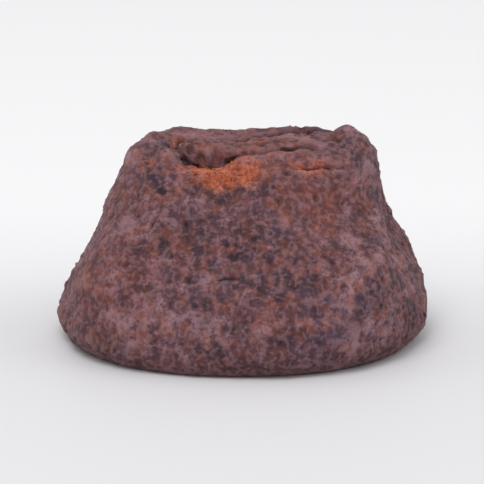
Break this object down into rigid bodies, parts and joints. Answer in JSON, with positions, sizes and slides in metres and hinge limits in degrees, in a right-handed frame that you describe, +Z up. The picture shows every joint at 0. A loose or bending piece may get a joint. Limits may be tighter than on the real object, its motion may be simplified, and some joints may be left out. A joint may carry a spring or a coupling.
{
  "type": "chocolate truffle",
  "caption": "Cocoa-dusted chocolate truffle: a squat mound on a round flat foot, drawn in to a narrow crest where its soft tail has folded over.",
  "frame": {"origin": "middle of the flat underside of the foot", "axes": "+Z up, +X along the crest towards its steeper end, -Y towards the side whose lip is lower"},
  "size_m": [0.032, 0.03, 0.018],
  "materials": {
    "cocoa_dust": "dull, dry cocoa powder over dark chocolate, mottled, with loose orange-brown cocoa in the folds"
  },
  "bodies": {
    "root": {"truffle": "cocoa_dust"}
  },
  "joints": []
}
